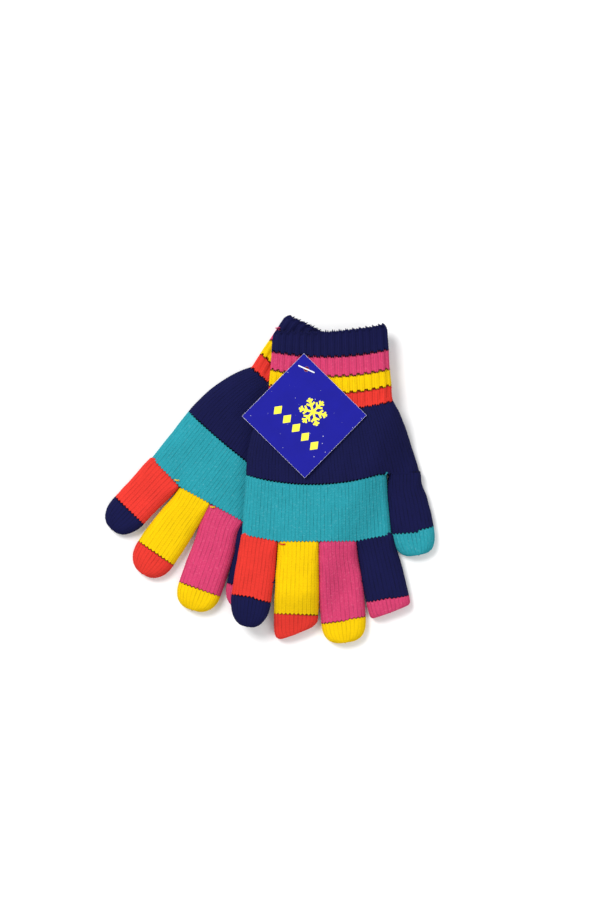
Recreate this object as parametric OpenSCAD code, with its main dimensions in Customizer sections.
// A pair of striped knitted stretch gloves, laid flat and fanned, held together
// at the cuffs by a plastic tag pin that also carries a square card swing tag.
// Each glove is knitted as tubes that run into each other: four fingers and a thumb
// with contrasting tips, a band across the knuckles, a palm and a ribbed cuff of four
// bands. Every change of yarn is a sub-part. The front glove lies over the back one
// and drapes off its edge.
// Frame: the gloves lie on z = 0, cuffs towards +Y and fingers towards -Y, and the
// origin is the middle of the pair's footprint.

/* [Fabric] */
// Thickness of the knitted wall
wall = 1.2; // [1:0.1:1.4]
// Clear height inside a glove that lies flat
hollow = 5.6; // [5.2:0.1:7]

/* [Cuff] */
// Width of the cuff at its rim
rim_w = 65.6; // [56:0.2:78]
// Width of the cuff where it meets the palm
cuff_w = 72; // [60:0.5:86]
// Band lengths of the front cuff, from the rim down
front_bands = [13, 10.7, 9.4, 9.1]; // [7:0.1:20]
// Band lengths of the back cuff, whose rim is drawn up
back_bands = [9.8, 7.6, 9.6, 9.5]; // [7:0.1:20]
// How far the middle of the front cuff's base sags
cuff_dip = 4.8; // [2:0.1:6]

/* [Palm and knuckle band] */
// Length of the palm along its edges
palm_l = 41.9; // [35:0.1:50]
// How far the palm reaches from the glove's middle line on the little finger's side
palm_reach = 48.2; // [42:0.1:54]
// Width of the thumb's root
thumb_root_w = 19.2; // [16:0.1:22]
// Length of the knuckle band along its edges
band_l = 34.1; // [28:0.1:41]
// How far the middle of the palm's lower edge sags
palm_dip = 5.5; // [3:0.1:6.6]
// How much further the finger roots reach at the middle of the hand
knuckle_dip = 4; // [2:0.1:5]

/* [Fingers] */
// Width of each front finger at its root, little finger first
root_w = [20.9, 23.2, 21.5, 20.5]; // [17:0.1:24]
// How much wider each front finger is at its tip, little finger first
front_swell = [1.5, 1.7, 3.7, 3.1]; // [0:0.1:4]
// How much wider each back finger is at its tip, little finger first
back_swell = [-1.1, 3.8, 2.1, -0.4]; // [-2:0.1:4]
// Length of each front finger to its tip's colour, little finger first
front_finger_l = [33, 41, 43.7, 34.7]; // [26:0.1:52]
// Length of each back finger to its tip's colour, little finger first
back_finger_l = [29.9, 39.8, 46.2, 32]; // [26:0.1:52]
// Width of the thumb
thumb_w = 22; // [19:0.1:25]
// Length of the thumb to its tip's colour
thumb_l = 34.4; // [29:0.1:40]
// Length of the thumb's tip
thumb_tip_l = 12.7; // [10:0.1:16]

/* [Tag] */
// Side of the square card
card_side = 50; // [40:1:60]
// Thickness of the card
card_t = 0.45; // [0.3:0.05:0.6]
// Diameter of the punched hole in the card
card_hole_d = 3; // [2.4:0.1:4]
// Length of the pin's cross bars
bar_l = 10.3; // [8:0.1:12]
// Diameter of the pin's cross bars
bar_d = 0.8; // [0.7:0.05:0.9]
// Diameter of the pin's thread
thread_d = 0.7; // [0.5:0.05:0.8]

/* [Hidden] */
SIDES = ["front", "back"];
DIGITS = ["little", "ring", "middle", "index"];
CUFF_PARTS = ["cuff_rim_band", "cuff_second_band", "cuff_third_band", "cuff_base_band"];
PARTS = concat(
  CUFF_PARTS,
  ["cuff_elastic", "palm", "knuckle_band"],
  [for (d = DIGITS) str(d, "_finger")],
  [for (d = DIGITS) str(d, "_fingertip")],
  ["thumb", "thumb_tip"]
);
NODES = concat([for (s = SIDES) for (p = PARTS) str(s, "_", p)], ["swing_tag", "tag_pin"]);
node = "all";

NAVY = [0.09, 0.09, 0.28];
PINK = [0.85, 0.26, 0.48];
YELLOW = [1, 0.84, 0.02];
RED = [0.97, 0.24, 0.18];
TEAL = [0.17, 0.64, 0.66];
CARD_BLUE = [0.15, 0.14, 0.66];
CLEAR_WHITE = [0.93, 0.93, 0.9];
CUFF_COLOURS = [NAVY, PINK, YELLOW, RED];
FINGER_COLOURS = [RED, YELLOW, PINK, NAVY];
TIP_COLOURS = [NAVY, RED, YELLOW, PINK];

// Running clearances
gap = 0.3; // between layers and at the joints
side_gap = 0.5; // between neighbouring fingers
thumb_gap = 0.8; // between the thumb and the knuckle band
seam = 0.3; // between the palm and the knuckle band
pin_gap = 0.1; // between the pin's bars and what they hold

thick = hollow + 2 * wall; // a glove that lies flat
lift = thick + gap; // the front glove above the table, where it lies on the back one
tiny = 0.05;
elastic_t = 0.4;
elastic_w = 0.6;

front = "front";

// Where each glove lies: the middle of its cuff's base, and its turn about Z
front_at = [34.04, 43.52];
back_at = [16.84, 40.72];
front_turn = 0;
back_turn = -38.5;

// The rim is drawn out of shape: [past half its width on the left, on the right, sag, tilt]
front_rim = [0, 0, 2.6, 2.3];
back_rim = [6.4, 1.2, -6, 0];
rim_power = 3.5; // how late up the cuff that begins
back_cuff_dip = 1;
back_palm_dip = 1.8;

// Roots of the four fingers, side by side along the knuckle band's lower edge
back_root_change = [2.4, -3, -1.6, -0.2]; // the back glove's roots against the front one's
front_flare = 2.3; // the band's lower edge past the palm's, on the little finger's side
thumb_flare_w = 2.8; // and on the thumb's side
palm_left = -palm_reach;
// How far each corner between them reaches past the band's own edge
front_drops = [0, knuckle_dip, knuckle_dip, knuckle_dip, 0];
back_drops = [0, 3, -0.5, -4, -4];

crotch_x = palm_left - front_flare + total(root_w, 4) - thumb_flare_w;
palm_right = crotch_x + thumb_root_w;

// Lean of each digit from the glove's own length, towards the thumb
front_lean = [-8, -1.8, 4.3, 12.2];
back_lean = [-5.1, 4, 19, 25.4];
front_thumb_lean = 9.8;
back_thumb_lean = 13.5;

// Fingertips: length, how much longer the left side is, and how blunt the end is
front_tips = [[16.4, -0.6, 2.7], [12.5, 2.8, 3], [13.3, 0.3, 2.6], [8, 1.6, 7]];
back_tips = [[14.8, 0, 2.2], [14.2, 0, 2.2], [12.8, 0.4, 2.3], [12.6, 0, 2.2]];
thumb_tip_blunt = 2.6;

// The pin through both cuffs
pin_at = [20.54, 61.42];
card_below_pin = 26.4; // the card's middle, down from the pin
card_aside = -1.2;
card_turn = 45.4;
bar_turn = -23.8;
stitch_hole_d = 1.6; // a stitch pushed open by the thread

// The front glove comes down from the back one past this line, and past the back thumb
drop_start = to_world("back", [palm_right + 13.3, -palm_l - 32.8]);
drop_dir = [0.4345, 0.9006];
drop_w = 24;
back_thumb_end = [
  palm_right - (thumb_root_w - thumb_gap) / 2 + (thumb_l + thumb_tip_l) * sin(back_thumb_lean),
  -palm_l - (thumb_l + thumb_tip_l) * cos(back_thumb_lean)
];
drop_top_y = to_world("back", back_thumb_end)[1] - 2.4;
drop_end_y = drop_top_y - 26.2;

function pick(side, a, b) = side == front ? a : b;
function at(side) = pick(side, front_at, back_at);
function turn(side) = pick(side, front_turn, back_turn);
function bands(side) = pick(side, front_bands, back_bands);
function roots(side) = pick(side, root_w, root_w + back_root_change);
function root_start(side) = pick(side, palm_left - front_flare, palm_left);
function lean(side) = pick(side, front_lean, back_lean);
function tips(side) = pick(side, front_tips, back_tips);
function finger_w(side) = roots(side) + pick(side, front_swell, back_swell);
function finger_l(side) = pick(side, front_finger_l, back_finger_l);
function rim(side) = pick(side, front_rim, back_rim);
function base_dip(side) = pick(side, cuff_dip, back_cuff_dip);
function low_dip(side) = pick(side, palm_dip, back_palm_dip);
function drops(side) = pick(side, front_drops, back_drops);
function total(v, n, i = 0) = i >= n ? 0 : v[i] + total(v, n, i + 1);
function mix(a, b, t) = a + (b - a) * t;
function clamp01(t) = max(0, min(1, t));
function smooth(t) = let (c = clamp01(t)) c * c * (3 - 2 * c);

// ---- The knitted tube -------------------------------------------------------

FLAT_STEPS = 12; // across the flat of a wide tube: three to each finger
DIGIT_STEPS = 4;
ROUND_STEPS = 4;

// Outline of a flattened tube: [across, up], inset by the wall for its inside.
// "stops" are places to reach between the two ends of the flat
function tube_outline(half_w, h, inset, steps, stops = []) =
  let (
    z0 = inset,
    hh = h - 2 * inset,
    a = half_w - inset,
    r = min(hh / 2, a * 0.98),
    flat = a - r,
    ends = concat([-flat], stops, [flat]),
    each_steps = steps / (len(ends) - 1),
    across = [for (i = [0 : steps]) let (s = min(len(ends) - 2, floor(i / each_steps)))
      mix(ends[s], ends[s + 1], i / each_steps - s)]
  ) concat(
    [for (x = across) [x, z0]],
    [for (j = [1 : ROUND_STEPS - 1]) let (q = -90 + 180 * j / ROUND_STEPS)
      [flat + r * cos(q), z0 + hh / 2 * (1 + sin(q))]],
    [for (i = [0 : steps]) [across[steps - i], z0 + hh]],
    [for (j = [1 : ROUND_STEPS - 1]) let (q = 90 + 180 * j / ROUND_STEPS)
      [-flat + r * cos(q), z0 + hh / 2 * (1 + sin(q))]]
  );

// Faces of a grid of rings, n points each, from point number o
function skin(n, rings, o, flip) = [
  for (k = [0 : rings - 2]) for (i = [0 : n - 1])
    let (
      a = o + k * n + i,
      b = o + k * n + (i + 1) % n,
      c = b + n,
      d = a + n
    ) each flip ? [[a, b, c], [a, c, d]] : [[a, c, b], [a, d, c]]
];

function fan(n, o, apex, flip) = [
  for (i = [0 : n - 1])
    let (a = o + i, b = o + (i + 1) % n) flip ? [a, b, apex] : [b, a, apex]
];

function rim_faces(n, o, p, flip) = [
  for (i = [0 : n - 1])
    let (j = (i + 1) % n) each flip
      ? [[o + i, p + j, o + j], [o + i, p + i, p + j]]
      : [[o + i, o + j, p + j], [o + i, p + j, p + i]]
];

function middle_of(ring) = ring * 0 == [] ? [0, 0, 0] : [for (k = [0 : 2]) sum_of(ring, k) / len(ring)];
function sum_of(ring, k, i = 0) = i >= len(ring) ? 0 : ring[i][k] + sum_of(ring, k, i + 1);

// An open tube between its first and last rings
module knit_tube(outer, inner) {
  n = len(outer[0]);
  m = len(outer);
  o = n * m;
  polyhedron(
    points = concat([for (r = outer) each r], [for (r = inner) each r]),
    faces = concat(
      skin(n, m, 0, false),
      skin(n, m, o, true),
      rim_faces(n, 0, o, false),
      rim_faces(n, n * (m - 1), o + n * (m - 1), true)
    )
  );
}

// A tube that is closed at its last ring
module knit_tip(outer, inner) {
  n = len(outer[0]);
  m = len(outer);
  q = len(inner);
  o = n * m;
  apex = o + n * q;
  polyhedron(
    points = concat(
      [for (r = outer) each r],
      [for (r = inner) each r],
      [middle_of(outer[m - 1]), middle_of(inner[q - 1])]
    ),
    faces = concat(
      skin(n, m, 0, false),
      skin(n, q, o, true),
      rim_faces(n, 0, o, false),
      fan(n, n * (m - 1), apex, false),
      fan(n, o + n * (q - 1), apex + 1, true)
    )
  );
}

// ---- Laying a glove down ----------------------------------------------------

function to_world(side, p) =
  let (c = cos(turn(side)), s = sin(turn(side)))
    [at(side)[0] + c * p[0] - s * p[1], at(side)[1] + s * p[0] + c * p[1]];

// Share of the lift at a place on the front glove
function draped(w) =
  let (
    d = (w[0] - drop_start[0]) * drop_dir[1] - (w[1] - drop_start[1]) * drop_dir[0],
    along = smooth((w[1] - drop_end_y) / (drop_top_y - drop_end_y))
  ) (1 - smooth(d / drop_w)) * along;

// "lies" is the digit's own way of lying: "flat" keeps the front little finger on the back glove
function height(side, w, lies) = side != front ? 0 : lies == "raised" ? lift : lift * draped(w);

function lay(side, ring, lies) = [
  for (p = ring) let (w = to_world(side, p)) [w[0], w[1], p[2] + height(side, w, lies)]
];

// ---- Cuff, palm and knuckle band --------------------------------------------

// An edge across the glove: [its y, sag, middle of the sag, half width of the sag, tilt]
function edge_y(edge, x) =
  let (u = (x - edge[2]) / edge[3]) edge[0] - edge[1] * max(0, 1 - u * u) + edge[4] * u;

function body_ring(side, xl, xr, edge, inset) = lay(side, [
  for (p = tube_outline((xr - xl) / 2, thick, inset, FLAT_STEPS))
    let (x = (xl + xr) / 2 + p[0]) [x, edge_y(edge, x), p[1]]
], "draped");

function cuff_top(side) = total(bands(side), 4);
function cuff_ring(side, y, inset) =
  let (
    r = rim(side),
    s = y / cuff_top(side),
    late = pow(s, rim_power),
    half = mix(cuff_w, rim_w, s) / 2
  ) body_ring(
    side, -half - r[0] * s, half + r[1] * s,
    [y, mix(base_dip(side), r[2], late), 0, cuff_w / 2, r[3] * late], inset
  );

// Top of band i, counted from the rim
function band_y(side, i) = cuff_top(side) - total(bands(side), i);

module cuff_band(side, i) {
  color(CUFF_COLOURS[i])
    difference() {
      knit_tube(
        [for (k = [i, i + 1]) cuff_ring(side, band_y(side, k), 0)],
        [for (k = [i, i + 1]) cuff_ring(side, band_y(side, k), wall)]
      );
      if (i == 1 || i == 2) stitch_hole(side);
    }
}

// The pin's thread runs through both walls of the front cuff and the top wall of the back one
module stitch_hole(side) {
  bottom = pick(side, lift - 1, thick - wall - 1);
  translate([pin_at[0], pin_at[1], bottom])
    cylinder(d = stitch_hole_d, h = pick(side, thick, wall) + 2, $fn = 24);
}

// Elastic threads laid in along the inside of the cuff, one to each band
module cuff_elastic(side) {
  color(CLEAR_WHITE)
    for (i = [0 : 3]) {
      y = mix(band_y(side, i), band_y(side, i + 1), 0.25);
      knit_tube(
        [for (k = [0, elastic_w]) cuff_ring(side, y - k, wall + tiny)],
        [for (k = [0, elastic_w]) cuff_ring(side, y - k, wall + tiny + elastic_t)]
      );
    }
}

// The palm spreads fast below the cuff, then runs almost straight
little_flare = 0.7;
thumb_flare = 0.75;
thumb_side = 5; // straight part of the palm's edge beside the thumb
palm_mid = (palm_left + crotch_x - thumb_side) / 2;
palm_half = (crotch_x - thumb_side - palm_left) / 2;
palm_steps = [0, 0.08, 0.3, 0.6, 1];

function palm_ring(side, t, inset) = body_ring(
  side,
  mix(-cuff_w / 2, palm_left, pow(sin(90 * t), little_flare)),
  mix(cuff_w / 2, palm_right, pow(t, thumb_flare)),
  [mix(0, -palm_l, t), mix(base_dip(side), low_dip(side), t), mix(0, palm_mid, t), mix(cuff_w / 2, palm_half, t), 0],
  inset
);

module palm(side) {
  color(NAVY)
    knit_tube(
      [for (t = palm_steps) palm_ring(side, t, 0)],
      [for (t = palm_steps) palm_ring(side, t, wall)]
    );
}

function band_bottom(side) = -palm_l - band_l;
// Corners between the finger roots, along the band's lower edge
function knuckles(side) = [
  for (i = [0 : 4])
    [root_start(side) + total(roots(side), i), band_bottom(side) - drops(side)[i]]
];
function band_low_ring(side, inset) =
  let (k = knuckles(side), middle = (k[0][0] + k[4][0]) / 2, stops = [for (i = [1 : 3]) k[i][0] - middle])
    lay(side, [
      for (p = tube_outline((k[4][0] - k[0][0]) / 2, thick, inset, FLAT_STEPS, stops))
        [middle + p[0], lookup(middle + p[0], k), p[1]]
    ], "draped");

function band_mid_ring(side, t, inset) =
  let (k = knuckles(side))
    body_ring(
      side,
      mix(palm_left, k[0][0], t),
      mix(crotch_x - side_gap / 2, k[4][0], t),
      [mix(-palm_l - seam, mix(k[0][1], k[4][1], 0.5), t), mix(low_dip(side), drops(side)[1], t), palm_mid, palm_half, 0],
      inset
    );

module knuckle_band(side) {
  color(TEAL)
    knit_tube(
      [band_mid_ring(side, 0, 0), band_mid_ring(side, 0.5, 0), band_low_ring(side, 0)],
      [band_mid_ring(side, 0, wall), band_mid_ring(side, 0.5, wall), band_low_ring(side, wall)]
    );
}

// ---- Fingers and thumb ------------------------------------------------------

// A ring across a digit, "r" along its own direction from its root
function digit_ring(side, root, way, r, half_w, h, inset, skew, lies) =
  let (along = [sin(way), -cos(way)], across = [cos(way), sin(way)])
    lay(side, [
      for (p = tube_outline(half_w, h, inset, DIGIT_STEPS))
        let (q = root + across * p[0] + along * (r - skew * p[0] / half_w))
          [q[0], q[1], p[1] + (thick - h) / 2]
    ], lies);

// A digit: [root middle, root turn, root half width, lean, half width, length, tip length, tip skew, tip bluntness, lies]
function finger(side, i) =
  let (k = knuckles(side), a = k[i], b = k[i + 1], tip = tips(side)[i])
    [
      (a + b) / 2, atan2(b[1] - a[1], b[0] - a[0]), roots(side)[i] / 2 - side_gap / 2,
      lean(side)[i], finger_w(side)[i] / 2 - side_gap / 2, finger_l(side)[i],
      tip[0], tip[1], tip[2], side == front && i == 0 ? "raised" : "draped"
    ];

function thumb_of(side) = [
  [palm_right - (thumb_root_w - thumb_gap) / 2, -palm_l], 0, (thumb_root_w - thumb_gap) / 2,
  pick(side, front_thumb_lean, back_thumb_lean), thumb_w / 2, thumb_l,
  thumb_tip_l, 0, thumb_tip_blunt, "draped"
];

widen_at = 0.8; // share of the digit's length where it reaches its full width

function digit_body_rings(side, d, inset) = [
  digit_ring(side, d[0], d[1], gap, d[2], thick, inset, 0, d[9]),
  digit_ring(side, d[0], mix(d[1], d[3], 0.8), d[5] * widen_at / 2, mix(d[2], d[4], 0.6), thick, inset, 0, d[9]),
  digit_ring(side, d[0], d[3], d[5] * widen_at, d[4], thick, inset, 0, d[9]),
  digit_ring(side, d[0], d[3], d[5] * (1 + widen_at) / 2, d[4], thick, inset, 0, d[9]),
  digit_ring(side, d[0], d[3], d[5], d[4], thick, inset, 0, d[9])
];

// A tip closes like a squashed dome; "reach" shortens its inside by the wall
tip_steps = [0, 0.4, 0.7, 0.88, 0.98];
function tip_share(t, blunt) = pow(1 - pow(t, blunt), 1 / blunt);
function digit_tip_rings(side, d, inset) = [
  for (t = tip_steps)
    digit_ring(
      side, d[0], d[3], d[5] + (d[6] - inset) * t,
      mix(0.8, d[4], tip_share(t, d[8])) + (t > 0 ? 0.1 * inset : 0),
      thick * mix(0.45, 1, tip_share(t, 3)), inset, d[7] * t, d[9]
    )
];

module digit_body(side, d, colour) {
  color(colour) knit_tube(digit_body_rings(side, d, 0), digit_body_rings(side, d, wall));
}

module digit_tip(side, d, colour) {
  color(colour) knit_tip(digit_tip_rings(side, d, 0), digit_tip_rings(side, d, wall));
}

// ---- Swing tag and pin ------------------------------------------------------

card_z = lift + thick + gap;

module swing_tag() {
  color(CARD_BLUE)
    translate([pin_at[0], pin_at[1], card_z])
      difference() {
        translate([card_aside, -card_below_pin, 0])
          rotate(card_turn)
            translate([-card_side / 2, -card_side / 2, 0]) cube([card_side, card_side, card_t]);
        translate([0, 0, -1]) cylinder(d = card_hole_d, h = card_t + 2, $fn = 48);
      }
}

module cross_bar(z, way) {
  translate([0, 0, z])
    rotate(way)
      rotate([0, 90, 0])
        translate([0, 0, -bar_l / 2]) cylinder(d = bar_d, h = bar_l, $fn = 32);
}

// One nylon moulding: a bar on the card, a thread down through the cuffs and a bar in the back cuff
module tag_pin() {
  top_z = card_z + card_t + pin_gap + bar_d / 2;
  low_z = thick - wall - pin_gap - bar_d / 2;
  color(CLEAR_WHITE)
    translate([pin_at[0], pin_at[1], 0])
      union() {
        cross_bar(top_z, bar_turn);
        cross_bar(low_z, back_turn);
        translate([0, 0, low_z]) cylinder(d = thread_d, h = top_z - low_z, $fn = 32);
      }
}

// ---- One call to each node --------------------------------------------------

function wanted(name) = node == "all" || node == name;

for (side = SIDES) {
  for (i = [0 : 3]) {
    if (wanted(str(side, "_", CUFF_PARTS[i]))) cuff_band(side, i);
    if (wanted(str(side, "_", DIGITS[i], "_finger"))) digit_body(side, finger(side, i), FINGER_COLOURS[i]);
    if (wanted(str(side, "_", DIGITS[i], "_fingertip"))) digit_tip(side, finger(side, i), TIP_COLOURS[i]);
  }
  if (wanted(str(side, "_cuff_elastic"))) cuff_elastic(side);
  if (wanted(str(side, "_palm"))) palm(side);
  if (wanted(str(side, "_knuckle_band"))) knuckle_band(side);
  if (wanted(str(side, "_thumb"))) digit_body(side, thumb_of(side), NAVY);
  if (wanted(str(side, "_thumb_tip"))) digit_tip(side, thumb_of(side), TEAL);
}
if (wanted("swing_tag")) swing_tag();
if (wanted("tag_pin")) tag_pin();
